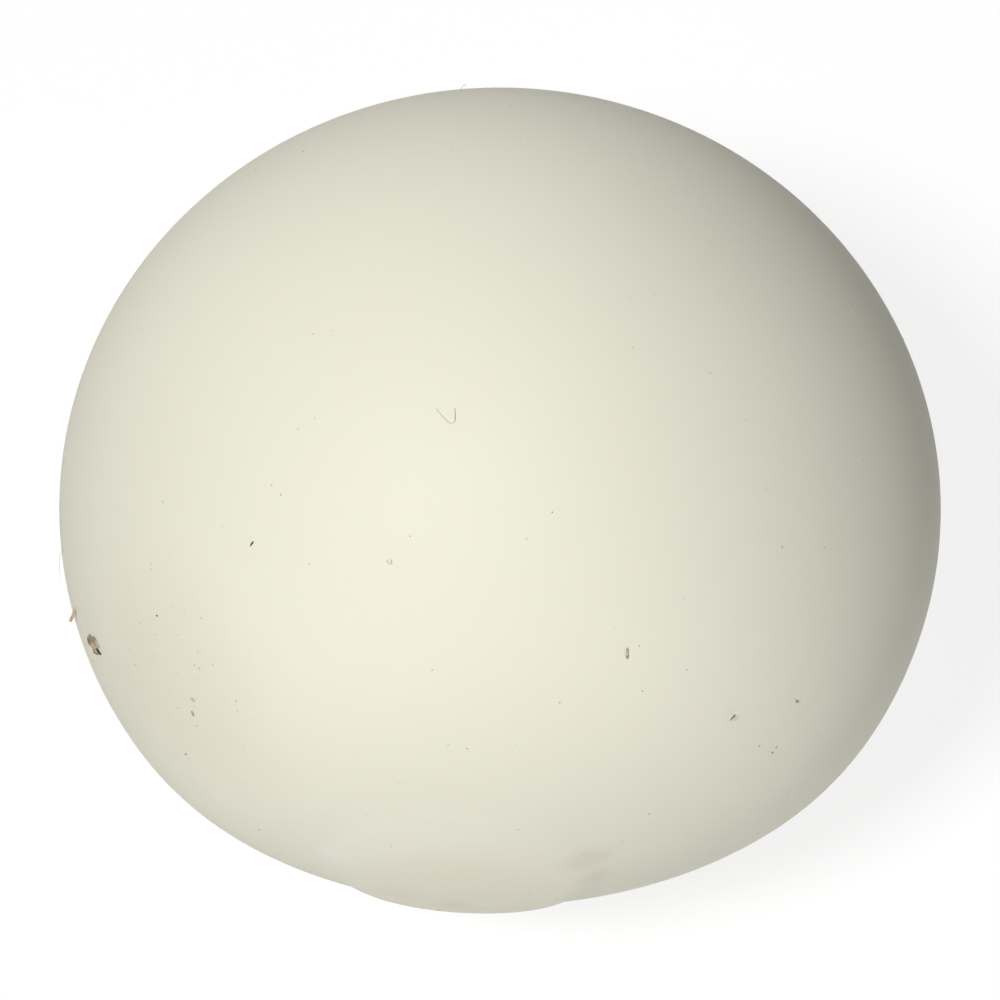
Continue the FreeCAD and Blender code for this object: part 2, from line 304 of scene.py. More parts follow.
# %% Fold line and crease
FOLD_RADIUS = 6.2 * MM
FOLD_SPREAD = 1.3 * MM
FOLD_HALF_WIDTH = 0.85 * MM
CREASE_RADIUS = 6.5 * MM
CREASE_HALF_WIDTH = 0.55 * MM
CREASE_TURN = math.radians(30)
CREASE_HALF_LENGTH = 2.1 * MM


def band(tree, value, middle, half_width):
    """1 at the middle of a band and 0 from its edges on."""
    off_middle = (value - middle).step("ABSOLUTE", value - middle)
    return smooth_step(tree, off_middle, half_width, 0.0)


def fold_mask(tree, away, up_share):
    """1 on the fine line that is left along the boss's upper edge."""
    radius = up_share * FOLD_SPREAD + FOLD_RADIUS
    return band(tree, away, radius, FOLD_HALF_WIDTH) * smooth_step(tree, up_share, 0.2, 0.8)


def crease_mask(tree, away, off_x, off_z):
    """1 along a short arc just outside the boss at its +X end."""
    from_x = off_x - CREASE_RADIUS * math.cos(CREASE_TURN)
    from_z = off_z - CREASE_RADIUS * math.sin(CREASE_TURN)
    along = smooth_step(tree, square_root(from_x * from_x + from_z * from_z), CREASE_HALF_LENGTH, 0.0)
    return along * band(tree, away, CREASE_RADIUS, CREASE_HALF_WIDTH)


# %% The skin as a node group
UNEVEN_WAVES = 110.0
UNEVEN_SEED = 3.7


def make_skin_group():
    """Direction in, position on the skin out, in metres."""
    tree, given, sink = new_tree("Ball skin", "GeometryNodeTree", SKIN_INPUTS, [("Position", VECTOR)])
    centre = cap_centre(tree, given)
    direction = given["Direction"]
    point = scaled(tree, direction, ball_radius(tree, given, centre))
    outward = vector_step(tree, "NORMALIZE", vector_step(tree, "SUBTRACT", point, centre))
    away, off_x, off_z = boss_places(tree, given, outward)
    up_share = off_z / away
    fold, crease, uneven = numbers(tree, given, "Fold height", "Crease depth", "Unevenness")
    lift = boss_lift(tree, given, away, up_share) + fold_mask(tree, away, up_share) * fold
    lift = lift - crease_mask(tree, away, off_x, off_z) * crease
    y = split(tree, direction)[1]
    lift = lift * y.step("LESS_THAN", y, 0.0)
    waves = noise(tree, vector_step(tree, "ADD", point, (0.0, 0.0, UNEVEN_SEED)), UNEVEN_WAVES)
    lift = lift + (waves - 0.5) * 2.0 * uneven
    feed(tree, sink.inputs["Position"], vector_step(tree, "ADD", point, scaled(tree, outward, lift)))
    return tree


skin_group = make_skin_group()
print("the skin rule has", len(skin_group.nodes), "nodes")

# %% [markdown]
# ## A half shell
# One grid is wrapped once round the axis and all the way along the shell's section: down the outer face from
# the pole to the seam, over the two faces of the lap, and back up the inner face to the pole. So the wall,
# the lap and both faces are one closed skin, and no edge has to be stitched. The two halves differ only in
# the side of the seam that they are on, because the skin rule itself knows where the flat and the boss are.

# %% Rays along the section
HALF_INPUTS = (
    ("Turns", "NodeSocketInt", 300),
    ("Outer rows", "NodeSocketInt", 220),
    ("Inner rows", "NodeSocketInt", 50),
    ("Side", FLOAT, 1.0),
    ("Equator", FLOAT, EQUATOR),
    ("Pole", FLOAT, POLE),
    ("Wall at seam", FLOAT, WALL_AT_SEAM),
    ("Wall at pole", FLOAT, WALL_AT_POLE),
    ("Tongue wall", FLOAT, TONGUE_WALL),
    ("Lap length", FLOAT, LAP_LENGTH),
    ("Cap radius", FLOAT, CAP_RADIUS),
    ("Material", "NodeSocketMaterial", None),
)


def ray(tree, given, turn, polar):
    """The direction at an angle from the half's own pole."""
    side, = numbers(tree, given, "Side")
    ring = polar.step("SINE", polar)
    return combined(tree, ring * turn.step("COSINE", turn), side * polar.step("COSINE", polar),
                    ring * turn.step("SINE", turn))


def use_skin(tree, direction, sizes):
    """Places the skin group in a tree, with its sizes by name."""
    node = tree.nodes.new("GeometryNodeGroup")
    node.node_tree = skin_group
    feed(tree, node.inputs["Direction"], direction)
    for label, value in sizes.items():
        feed(tree, node.inputs[label], value)
    return node.outputs["Position"]


def choose(tree, condition, if_false, if_true):
    """One vector or another, by a number that is 0 or 1."""
    node = tree.nodes.new("GeometryNodeSwitch")
    node.input_type = "VECTOR"
    feed(tree, node.inputs["Switch"], condition)
    feed(tree, node.inputs["False"], if_false)
    feed(tree, node.inputs["True"], if_true)
    return node.outputs[0]


# %% The half shell's tree
QUARTER = math.pi / 2
CLOSE = 1e-7


def section_places(tree, given):
    """The position of each grid point, by its row along the section and its turn round the axis."""
    grid_place = tree.nodes.new("GeometryNodeInputPosition").outputs[0]
    across, up = split(tree, grid_place)[:2]
    turn = (across + 0.5) * math.tau
    outer_rows, inner_rows, side = numbers(tree, given, "Outer rows", "Inner rows", "Side")
    last_row = outer_rows + inner_rows + 1.0
    row = (up + 0.5).step("ROUND", (up + 0.5) * last_row)
    equator, pole, seam_wall, pole_wall = numbers(
        tree, given, "Equator", "Pole", "Wall at seam", "Wall at pole")
    tongue, lap, cap = numbers(tree, given, "Tongue wall", "Lap length", "Cap radius")
    inner_equator = equator - seam_wall
    outer_ray = ray(tree, given, turn, row / (outer_rows - 1.0) * QUARTER)
    outer = use_skin(tree, outer_ray, {"Equator": equator, "Pole": pole, "Cap radius": cap})
    inner_share = (row - outer_rows - 2.0) / (inner_rows - 1.0)
    overhang = side * (lap / inner_equator).step("ARCSINE", lap / inner_equator)
    inner_ray = ray(tree, given, turn, (overhang + QUARTER) * (1.0 - inner_share))
    inner = use_skin(tree, inner_ray, {
        "Equator": inner_equator, "Pole": pole - pole_wall, "Cap radius": cap - pole_wall})
    lap_face = inner_equator + tongue
    lap_place = combined(tree, lap_face * turn.step("COSINE", turn), lap * (outer_rows - row),
                         lap_face * turn.step("SINE", turn))
    past_outer = row.step("GREATER_THAN", row, outer_rows - 0.5)
    past_lap = row.step("GREATER_THAN", row, outer_rows + 1.5)
    return choose(tree, past_lap, choose(tree, past_outer, outer, lap_place), inner)


def make_half_tree():
    """Grid, wrapped by the section, closed, smooth, with its material."""
    tree, given, sink = new_tree("Half shell", "GeometryNodeTree", HALF_INPUTS, [("Geometry", GEOMETRY)])
    turns, outer_rows, inner_rows = numbers(tree, given, "Turns", "Outer rows", "Inner rows")
    grid = tree.nodes.new("GeometryNodeMeshGrid")
    feed(tree, grid.inputs["Size X"], 1.0)
    feed(tree, grid.inputs["Size Y"], 1.0)
    feed(tree, grid.inputs["Vertices X"], turns + 1.0)
    feed(tree, grid.inputs["Vertices Y"], outer_rows + inner_rows + 2.0)
    place = tree.nodes.new("GeometryNodeSetPosition")
    feed(tree, place.inputs["Geometry"], grid.outputs["Mesh"])
    feed(tree, place.inputs["Position"], section_places(tree, given))
    close = tree.nodes.new("GeometryNodeMergeByDistance")
    feed(tree, close.inputs["Geometry"], place.outputs[0])
    feed(tree, close.inputs["Distance"], CLOSE)
    finish_tree(tree, close.outputs[0], given["Material"], sink)
    return tree


def finish_tree(tree, geometry, material, sink):
    """The end of every tree here: smooth shading, real instances, and the material."""
    smooth = tree.nodes.new("GeometryNodeSetShadeSmooth")
    feed(tree, smooth.inputs["Geometry"], geometry)
    real = tree.nodes.new("GeometryNodeRealizeInstances")
    feed(tree, real.inputs[0], smooth.outputs[0])
    paint = tree.nodes.new("GeometryNodeSetMaterial")
    feed(tree, paint.inputs["Geometry"], real.outputs[0])
    feed(tree, paint.inputs["Material"], material)
    feed(tree, sink.inputs[0], paint.outputs[0])


# %% From a tree to a plain mesh
SHARP_ANGLE = math.radians(40)


def grow(name, tree, settings, base=None):
    """Runs a tree once on an object and keeps only the mesh it made."""
    worker = bpy.data.objects.new(name + "_worker", base or bpy.data.meshes.new(name + "_empty"))
    bpy.context.scene.collection.objects.link(worker)
    modifier = worker.modifiers.new(tree.name, "NODES")
    modifier.node_group = tree
    for item in tree.interface.items_tree:
        if item.in_out == "INPUT" and item.name in settings:
            modifier[item.identifier] = settings[item.name]
    evaluated = worker.evaluated_get(bpy.context.evaluated_depsgraph_get())
    mesh = bpy.data.meshes.new_from_object(evaluated)
    worker.modifiers.remove(modifier)
    bpy.data.objects.remove(worker)
    mesh.name = name
    piece = bpy.data.objects.new(name, mesh)
    bpy.context.scene.collection.objects.link(piece)
    return piece


def describe(piece):
    """Prints whether a mesh is closed, and its signed volume: above 0 when its faces look outwards."""
    work = bmesh.new()
    work.from_mesh(piece.data)
    open_edges = sum(1 for edge in work.edges if not edge.is_manifold)
    volume = work.calc_volume(signed=True) / MM ** 3
    work.free()
    triangles = sum(len(face.vertices) - 2 for face in piece.data.polygons)
    print(f"{piece.name}: {triangles} triangles, {open_edges} open edges, {volume:.5f} mm3")


def close_up(piece):
    """Joins points that meet, turns all faces outwards and keeps true corners sharp."""
    work = bmesh.new()
    work.from_mesh(piece.data)
    bmesh.ops.remove_doubles(work, verts=work.verts, dist=CLOSE)
    bmesh.ops.recalc_face_normals(work, faces=work.faces)
    work.to_mesh(piece.data)
    work.free()
    piece.data.set_sharp_from_angle(angle=SHARP_ANGLE)


# %% [markdown]
# ## Colour that follows the celluloid
# Old celluloid is an even ivory with almost no grain. What breaks it up is faint: slow cloudiness, a brown
# stain with dust ground into it, and pin-point specks. Round the boss the colour also carries painted light:
# a pale painted highlight along its upper rim, pale painted highlights at its left end and on its lower part,
# and brown patches at its +X end that are partly stain and partly painted shade in the crease. Each kind of
# mark is a node group that puts out a mask, so that any material of the ball can use it with its own values.


# %% Masks as shader groups
def shader_group(name, inputs):
    """A shader group that works in millimetres on the piece's own coordinates and puts out a mask."""
    tree, given, sink = new_tree(name, "ShaderNodeTree", inputs, [("Mask", FLOAT)])
    place = tree.nodes.new("ShaderNodeTexCoord").outputs["Object"]
    return tree, given, sink, scaled(tree, place, 1.0 / MM)


def make_cloud_group():
    """Slow cloudiness, from 0 to 1; Size is a cloud's width in millimetres."""
    tree, given, sink, place = shader_group("Cloudiness", [("Size", FLOAT, 8.0)])
    size, = numbers(tree, given, "Size")
    feed(tree, sink.inputs[0], noise(tree, scaled(tree, place, 1.0 / size), 1.0, 3.0))
    return tree


def make_speck_group():
    """Small round specks: Spacing between cells in millimetres, Share of cells that have one, and Size."""
    inputs = [("Spacing", FLOAT, 2.0), ("Share", FLOAT, 0.3), ("Size", FLOAT, 0.06)]
    tree, given, sink, place = shader_group("Specks", inputs)
    spacing, share, size = numbers(tree, given, "Spacing", "Share", "Size")
    cells = tree.nodes.new("ShaderNodeTexVoronoi")
    cells.inputs["Scale"].default_value = 1.0
    feed(tree, cells.inputs["Vector"], scaled(tree, place, 1.0 / spacing))
    away = Number(tree, cells.outputs["Distance"]) * spacing
    pick, second = split(tree, cells.outputs["Color"])[:2]
    radius = size * (0.4 + second)
    chosen = pick.step("LESS_THAN", pick, share)
    feed(tree, sink.inputs[0], smooth_step(tree, away, radius, radius * 0.4) * chosen)
    return tree


def make_patch_group():
    """A soft-edged patch round a place on the ball, broken up by noise; sizes in millimetres."""
    inputs = [("Centre", VECTOR, None), ("Radius", FLOAT, 5.0), ("Raggedness", FLOAT, 3.0),
              ("Grain", FLOAT, 1.0)]
    tree, given, sink, place = shader_group("Patch", inputs)
    radius, ragged, grain = numbers(tree, given, "Radius", "Raggedness", "Grain")
    away = vector_step(tree, "DISTANCE", place, given["Centre"])
    broken = noise(tree, scaled(tree, place, 1.0 / grain), 1.0, 4.0, 0.6) - 0.5
    feed(tree, sink.inputs[0], smooth_step(tree, away + broken * ragged, radius, radius * 0.2))
    return tree


def make_ring_group():
    """The upper part of a thin ring, faded out towards +X; sizes in millimetres."""
    inputs = [("Centre", VECTOR, None), ("Radius", FLOAT, 6.2), ("Stretch", FLOAT, 0.5),
              ("Half width", FLOAT, 0.5)]
    tree, given, sink, place = shader_group("Ring", inputs)
    radius, stretch, half_width = numbers(tree, given, "Radius", "Stretch", "Half width")
    apart = vector_step(tree, "SUBTRACT", place, given["Centre"])
    away = vector_step(tree, "LENGTH", apart)
    x, _, z = split(tree, apart)
    up_share = z / away
    broken = noise(tree, place, 0.9, 3.0)
    ring = band(tree, away, radius + stretch * up_share, half_width * (0.5 + broken))
    feed(tree, sink.inputs[0], ring * smooth_step(tree, up_share, 0.0, 0.6) * smooth_step(tree, x, 4.5, 0.5))
    return tree


cloud_group = make_cloud_group()
ring_group = make_ring_group()
speck_group = make_speck_group()
patch_group = make_patch_group()
print("shader groups:", [group.name for group in (cloud_group, ring_group, speck_group, patch_group)])


# %% Places on the ball by two angles
def on_ball(east, north, lift=0.0):
    """A point of the skin: east is degrees from +Z towards +X, north is degrees from the seam towards +Y."""
    east = math.radians(east)
    north = math.radians(north)
    ray_out = Vector((math.sin(east) * math.cos(north), math.sin(north), math.cos(east) * math.cos(north)))
    along = -ray_out.y
    ellipsoid = 1.0 / math.sqrt((1.0 - along ** 2) / EQUATOR ** 2 + along ** 2 / POLE ** 2)
    flat = math.sqrt(CAP_RADIUS ** 2 - CAP_CENTRE ** 2 * (1.0 - along ** 2)) - CAP_CENTRE * along
    return ray_out * (min(ellipsoid, flat) + lift)


# %% Celluloid
IVORY = (0.865, 0.845, 0.71, 1.0)
WARM_IVORY = (0.83, 0.79, 0.64, 1.0)
BROWN = (0.42, 0.27, 0.13, 1.0)
DARK = (0.10, 0.11, 0.09, 1.0)
# a pale tint that is used only for painted highlights round the boss
HIGHLIGHT_PALE = (0.92, 0.92, 0.88, 1.0)


def use_mask(tree, group, settings):
    """Places a mask group in a material, with its values by name."""
    node = tree.nodes.new("ShaderNodeGroup")
    node.node_tree = group
    for label, value in settings.items():
        feed(tree, node.inputs[label], value)
    return Number(tree, node.outputs[0])


def tinted(tree, base, tint, amount):
    """Mixes a colour towards a tint by a number."""
    node = tree.nodes.new("ShaderNodeMix")
    node.data_type = "RGBA"
    feed(tree, node.inputs["Factor"], amount)
    feed(tree, node.inputs["A"], base)
    feed(tree, node.inputs["B"], tint)
    return node.outputs["Result"]


def new_material(name):
    """An empty node material: returns it with its tree and its shader."""
    material = bpy.data.materials.new(name)
    material.use_nodes = True
    tree = material.node_tree
    shader = tree.nodes["Principled BSDF"]
    return material, tree, shader


STAIN_PLACE = on_ball(-62, -36) / MM
STAIN_SHARE = 0.085
GROUND_DUST_SHARE = 0.5
SPECK_SHARE = 0.45
CLOUD_SHARE = 0.22
RIM_HIGHLIGHT_SHARE = 0.14
BOSS_PLACE = Vector((BOSS_X, -17.9 * MM, BOSS_Z)) / MM
PATCHES = (
    # place in millimetres, radius, raggedness, grain, tint, share
    (BOSS_PLACE, 6.6, 1.5, 2.0, (0.80, 0.70, 0.52, 1.0), 0.09),
    # painted shade: these two brown patches lie in the crease at the boss's +X end, away from the light; they
    # are partly stain and partly painted shade
    (Vector((4.0, -17.4, 1.6)), 1.7, 1.6, 0.7, BROWN, 0.11),
    (Vector((4.4, -17.3, -0.8)), 1.2, 1.2, 0.6, BROWN, 0.09),
    (Vector((-4.6, -17.6, -3.6)), 1.5, 1.2, 0.6, BROWN, 0.06),
    (Vector((-1.9, -17.5, -4.9)), 1.5, 1.4, 0.5, BROWN, 0.07),
    # painted highlight: a pale patch where the left end of the boss's step faces the light
    (Vector((-7.2, -16.9, 0.3)), 1.3, 1.0, 0.6, HIGHLIGHT_PALE, 0.22),
    # painted highlight: a pale patch on the lower part of the boss
    (Vector((-0.6, -17.6, -4.2)), 1.1, 1.0, 0.5, HIGHLIGHT_PALE, 0.3),
)


def make_celluloid():
    """Ivory celluloid: cloudy, stained brown on one side, with dust ground in, and with painted highlights
    and painted shade round the boss.
    """
    material, tree, shader = new_material("aged_celluloid")
    colour = tinted(tree, IVORY, WARM_IVORY, use_mask(tree, cloud_group, {"Size": 9.0}) * CLOUD_SHARE)
    stain_sizes = {"Centre": STAIN_PLACE, "Radius": 8.0, "Raggedness": 5.0, "Grain": 2.2}
    stain = use_mask(tree, patch_group, stain_sizes)
    colour = tinted(tree, colour, BROWN, stain * STAIN_SHARE)
    # each patch tints the colour; the pale ones are painted highlights, and the brown ones at the boss's +X
    # end are partly painted shade
    for place, radius, ragged, grain_size, tint, share in PATCHES:
        settings = {"Centre": place, "Radius": radius, "Raggedness": ragged, "Grain": grain_size}
        colour = tinted(tree, colour, tint, use_mask(tree, patch_group, settings) * share)
    # painted highlight: a pale ring along the upper rim of the boss, faded towards +X, stands in for the
    # light that the rim catches
    rim_highlight_sizes = {"Centre": BOSS_PLACE, "Radius": 6.0, "Stretch": 1.5, "Half width": 0.8}
    rim_highlight = use_mask(tree, ring_group, rim_highlight_sizes)
    colour = tinted(tree, colour, HIGHLIGHT_PALE, rim_highlight * RIM_HIGHLIGHT_SHARE)
    dust = use_mask(tree, speck_group, {"Spacing": 0.55, "Share": 0.35, "Size": 0.07})
    colour = tinted(tree, colour, BROWN, dust * stain * GROUND_DUST_SHARE)
    specks = use_mask(tree, speck_group, {"Spacing": 2.6, "Share": 0.3, "Size": 0.05})
    colour = tinted(tree, colour, DARK, specks * SPECK_SHARE)
    feed(tree, shader.inputs["Base Color"], colour)
    shader.inputs["Roughness"].default_value = 0.62
    shader.inputs["IOR"].default_value = 1.45
    shader.inputs["Specular IOR Level"].default_value = 0.35
    grain = use_mask(tree, cloud_group, {"Size": 0.22})
    slow = use_mask(tree, cloud_group, {"Size": 2.5})
    bump = tree.nodes.new("ShaderNodeBump")
    bump.inputs["Strength"].default_value = 0.35
    bump.inputs["Distance"].default_value = 0.01 * MM
    feed(tree, bump.inputs["Height"], grain + slow * 2.0)
    feed(tree, shader.inputs["Normal"], bump.outputs[0])
    return material


celluloid = make_celluloid()
print("celluloid:", len(celluloid.node_tree.nodes), "nodes")

# %% Make the two half shells
half_tree = make_half_tree()


def half_shell(name, node, side, outer_rows):
    """One half shell, which stands for its CAD node."""
    piece = grow(name, half_tree, {"Side": side, "Outer rows": outer_rows, "Material": celluloid})
    close_up(piece)
    describe(piece)
    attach(piece, "root")
    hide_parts(node)
    return piece


plain_shell = half_shell("sound_half", "plain_half_shell", 1.0, 150)
dented_shell = half_shell("dented_half", "dented_half_shell", -1.0, 225)

# %% [markdown]
# ## Dust
# A ball that lay about collects dust: hundreds of specks far smaller than a millimetre, and more of them in
# the stain. They could be painted, but at the edge of the ball they stand up and break its outline, so they
# are real grains. Geometry Nodes scatter them over the outer face with a fixed seed, denser near the stain.

# %% Dust grains by Geometry Nodes
DUST_INPUTS = (
    ("Shell", GEOMETRY, None),
    ("Density", FLOAT, 0.05 / MM ** 2),
    ("Stain density", FLOAT, 1.5 / MM ** 2),
    ("Stain centre", VECTOR, None),
    ("Stain radius", FLOAT, 5.5 * MM),
    ("Smallest", FLOAT, 0.012 * MM),
    ("Largest", FLOAT, 0.048 * MM),
    ("Seed", "NodeSocketInt", 11),
    ("Material", "NodeSocketMaterial", None),
)


def random_number(tree, low, high, seed):
    """A random number for each grain, with the seed given."""
    node = tree.nodes.new("FunctionNodeRandomValue")
    node.data_type = "FLOAT"
    ports = [socket for socket in node.inputs if socket.enabled]
    for socket, value in zip(ports, (low, high)):
        feed(tree, socket, value)
    feed(tree, node.inputs["Seed"], seed)
    return Number(tree, [socket for socket in node.outputs if socket.enabled][0])


def make_dust_tree():
    """Points on the outer face, a flattened grain on each."""
    tree, given, sink = new_tree("Dust", "GeometryNodeTree", DUST_INPUTS, [("Geometry", GEOMETRY)])
    density, more, radius, seed = numbers(tree, given, "Density", "Stain density", "Stain radius", "Seed")
    smallest, largest = numbers(tree, given, "Smallest", "Largest")
    place = tree.nodes.new("GeometryNodeInputPosition").outputs[0]
    facing = vector_step(tree, "DOT_PRODUCT", place, tree.nodes.new("GeometryNodeInputNormal").outputs[0])
    away = vector_step(tree, "DISTANCE", place, given["Stain centre"])
    points = tree.nodes.new("GeometryNodeDistributePointsOnFaces")
    feed(tree, points.inputs["Mesh"], given["Shell"])
    feed(tree, points.inputs["Selection"], facing.step("GREATER_THAN", facing, 0.0))
    feed(tree, points.inputs["Density"], density + more * smooth_step(tree, away, radius, 0.0))
    feed(tree, points.inputs["Seed"], seed)
    size = random_number(tree, 0.0, 1.0, seed + 1.0)
    size = smallest + (largest - smallest) * size * size
    narrow = random_number(tree, 0.45, 1.0, seed + 2.0)
    grain = tree.nodes.new("GeometryNodeMeshIcoSphere")
    grain.inputs["Radius"].default_value = 1.0
    grain.inputs["Subdivisions"].default_value = 1
    grains = tree.nodes.new("GeometryNodeInstanceOnPoints")
    feed(tree, grains.inputs["Points"], points.outputs["Points"])
    feed(tree, grains.inputs["Instance"], grain.outputs["Mesh"])
    feed(tree, grains.inputs["Rotation"], points.outputs["Rotation"])
    feed(tree, grains.inputs["Scale"], combined(tree, size, size * narrow, size * 0.5))
    finish_tree(tree, grains.outputs[0], given["Material"], sink)
    return tree


dust_tree = make_dust_tree()

# %% [markdown]
# ## Colours of the dirt
# Dirt is never one colour. Each kind runs between two colours by the same cloudiness mask as the celluloid,
# only much finer, and all of it is dull.


# %% Dirt materials
def make_dirt(name, dark, light, cloud_size):
    """A dull material that runs between two colours over a fraction of a millimetre."""
    material, tree, shader = new_material(name)
    cloud = use_mask(tree, cloud_group, {"Size": cloud_size})
    feed(tree, shader.inputs["Base Color"], tinted(tree, dark, light, smooth_step(tree, cloud, 0.35, 0.65)))
    shader.inputs["Roughness"].default_value = 0.85
    shader.inputs["Specular IOR Level"].default_value = 0.2
    return material


grey_dust = make_dirt("grey_dust", (0.16, 0.15, 0.11, 1.0), (0.42, 0.33, 0.22, 1.0), 1.5)
brown_dirt = make_dirt("brown_dirt", (0.15, 0.095, 0.05, 1.0), (0.46, 0.33, 0.21, 1.0), 0.35)
bark = make_dirt("bark", (0.20, 0.13, 0.075, 1.0), (0.50, 0.38, 0.26, 1.0), 0.4)
tan_dirt = make_dirt("tan_dirt", (0.50, 0.39, 0.24, 1.0), (0.74, 0.64, 0.46, 1.0), 0.3)
black_dirt = make_dirt("black_dirt", (0.03, 0.035, 0.025, 1.0), (0.12, 0.12, 0.09, 1.0), 0.2)
pale_lint = make_dirt("pale_lint", (0.55, 0.57, 0.56, 1.0), (0.80, 0.79, 0.74, 1.0), 0.4)
grey_hair = make_dirt("grey_hair", (0.24, 0.25, 0.20, 1.0), (0.46, 0.46, 0.38, 1.0), 0.5)


def add_dirt(piece):
    """Dirt rides on the ball's one body."""
    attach(piece, "root")
    describe(piece)
    return piece


# %% Scatter the dust on both halves
for shell, seed in ((plain_shell, 11), (dented_shell, 23)):
    settings = {"Stain centre": on_ball(-60, -36), "Seed": seed, "Material": grey_dust}
    dust = grow("dust_on_" + shell.name, dust_tree, settings, base=shell.data.copy())
    add_dirt(dust)

# %% [markdown]
# ## Crumbs, flecks and hairs
# A few bits of dirt are large enough to tell apart: a crumb of bark with a dark end on the left, a flake that
# sticks out of the outline, some flecks, a bent hair near the top, and some fluff. Each has one place in
# whole degrees, and its own shape is given in millimetres from there. The smallest flecks are strewn in loose
# clusters with a fixed seed. Each crumb is a lump roughened by noise, and each hair is a thin tube along a
# curve.

# %% Places of the bits that can be told apart: degrees east and north
CRUMB = (-80, -24)
FLAKE = (-85, -17)
BENT_HAIR = (-6, -11)
HAIR_LOOP = (-15, -28)
TOP_FLUFF = (-11, 61)
SIDE_FLUFF = (-88, -8)
LONG_FLECK = (46, -44)
SLANTED_FLECK = (-35, -23)
LEFT_DOT = (-57, -27)
LOW_DOT = (-74, -43)
TAN_PAIR = (-61, -39)
TAN_SPLINTER = (21, -39)


# %% A place on the skin, with its own east and north
def skin_frame(east, north):
    """A point of the skin with the directions east, north and outward there."""
    point = on_ball(east, north)
    to_east = (on_ball(east + 0.5, north) - on_ball(east - 0.5, north)).normalized()
    to_north = (on_ball(east, north + 0.5) - on_ball(east, north - 0.5)).normalized()
    outward = to_east.cross(to_north).normalized()
    return point, to_east, to_north, outward


def beside(place, to_east, to_north):
    """A place moved over the skin by millimetres."""
    east, north = place
    ring = EQUATOR * math.cos(math.radians(north))
    return east + math.degrees(to_east * MM / ring), north + math.degrees(to_north * MM / EQUATOR)


# %% Lumps
LUMP_RISE = 0.35
COARSE_WAVES = 1.6
FINE_WAVES = 4.0


def lump(work, place, length, width, turn, height=0.5, roughness=0.25):
    """Adds one lump: sizes in millimetres, turn in degrees from east towards north."""
    east, north = place
    point, to_east, to_north, outward = skin_frame(east, north)
    angle = math.radians(turn)
    along = to_east * math.cos(angle) + to_north * math.sin(angle)
    across = outward.cross(along)
    half_length = length * 0.5
    half_width = width * 0.5
    half_height = half_width * height
    made = bmesh.ops.create_icosphere(work, subdivisions=3, radius=1.0)
    seed = Vector((east, north, length * 10.0))
    for vertex in made["verts"]:
        spot = vertex.co.copy()
        coarse = math_noise(spot * COARSE_WAVES + seed)
        fine = math_noise(spot * FINE_WAVES + seed)
        spot *= 1.0 + roughness * (2.0 * coarse + fine)
        up = (spot.z + LUMP_RISE) * half_height
        vertex.co = point + (along * spot.x * half_length + across * spot.y * half_width + outward * up) * MM


def lumps(name, material, entries, **shape):
    """One piece of dirt made of several lumps."""
    work = bmesh.new()
    for entry in entries:
        lump(work, *entry, **shape)
    mesh = bpy.data.meshes.new(name)
    work.to_mesh(mesh)
    work.free()
    mesh.materials.append(material)
    for face in mesh.polygons:
        face.use_smooth = True
    piece = bpy.data.objects.new(name, mesh)
    bpy.context.scene.collection.objects.link(piece)
    return add_dirt(piece)


def cluster(place, count, spread, seed):
    """Small flecks strewn within some millimetres of a place, each with its own size and turn."""
    draw = random.Random(seed)
    entries = []
    for _ in range(count):
        spot = beside(place, draw.uniform(-spread, spread), draw.uniform(-spread, spread))
        length = draw.uniform(0.08, 0.15)
        entries.append((spot, length, length * draw.uniform(0.5, 0.8), draw.uniform(0, 180)))
    return entries


# %% The crumb: two brown lumps in a row, a dark lower end and a grey side
lumps("bark_crumb", bark, [
    (beside(CRUMB, -0.1, 0.4), 0.8, 0.34, 105),
    (beside(CRUMB, -0.2, 0.0), 0.5, 0.26, 100)], height=1.1, roughness=0.13)
lumps("crumb_dark_end", black_dirt, [(beside(CRUMB, 0.1, -0.2), 0.45, 0.11, 112)], height=1.3, roughness=0.12)
lumps("crumb_grey_side", grey_hair, [(beside(CRUMB, 0.4, 0.2), 0.7, 0.22, 105)], height=1.0, roughness=0.12)

# %% Flecks and dots: place, length, width and turn
lumps("dark_flecks", black_dirt, [
    (LONG_FLECK, 0.36, 0.07, 80), (SLANTED_FLECK, 0.30, 0.08, 40), (LEFT_DOT, 0.10, 0.09, 0),
    (LOW_DOT, 0.12, 0.09, 0)], height=0.25)
lumps("tan_flecks", tan_dirt, [
    (beside(TAN_PAIR, 0.4, 0.2), 0.24, 0.15, 120), (beside(TAN_PAIR, -0.3, -0.3), 0.26, 0.13, 60),
    (TAN_SPLINTER, 0.45, 0.12, 285)], height=0.3)
lumps("brown_specks", brown_dirt, cluster((56, -41), 4, 1.8, 5), height=0.25)
lumps("tan_specks", tan_dirt, cluster((-50, -28), 6, 2.5, 8), height=0.4)
lumps("pale_specks", pale_lint, cluster((48, -18), 3, 0.9, 2) + cluster((54, 15), 2, 0.5, 3), height=0.5)

# %% Hairs and fluff
HAIR_HALF_THICKNESS = 0.013 * MM
FLAKE_HALF_THICKNESS = 0.1 * MM
TAPER = 0.8


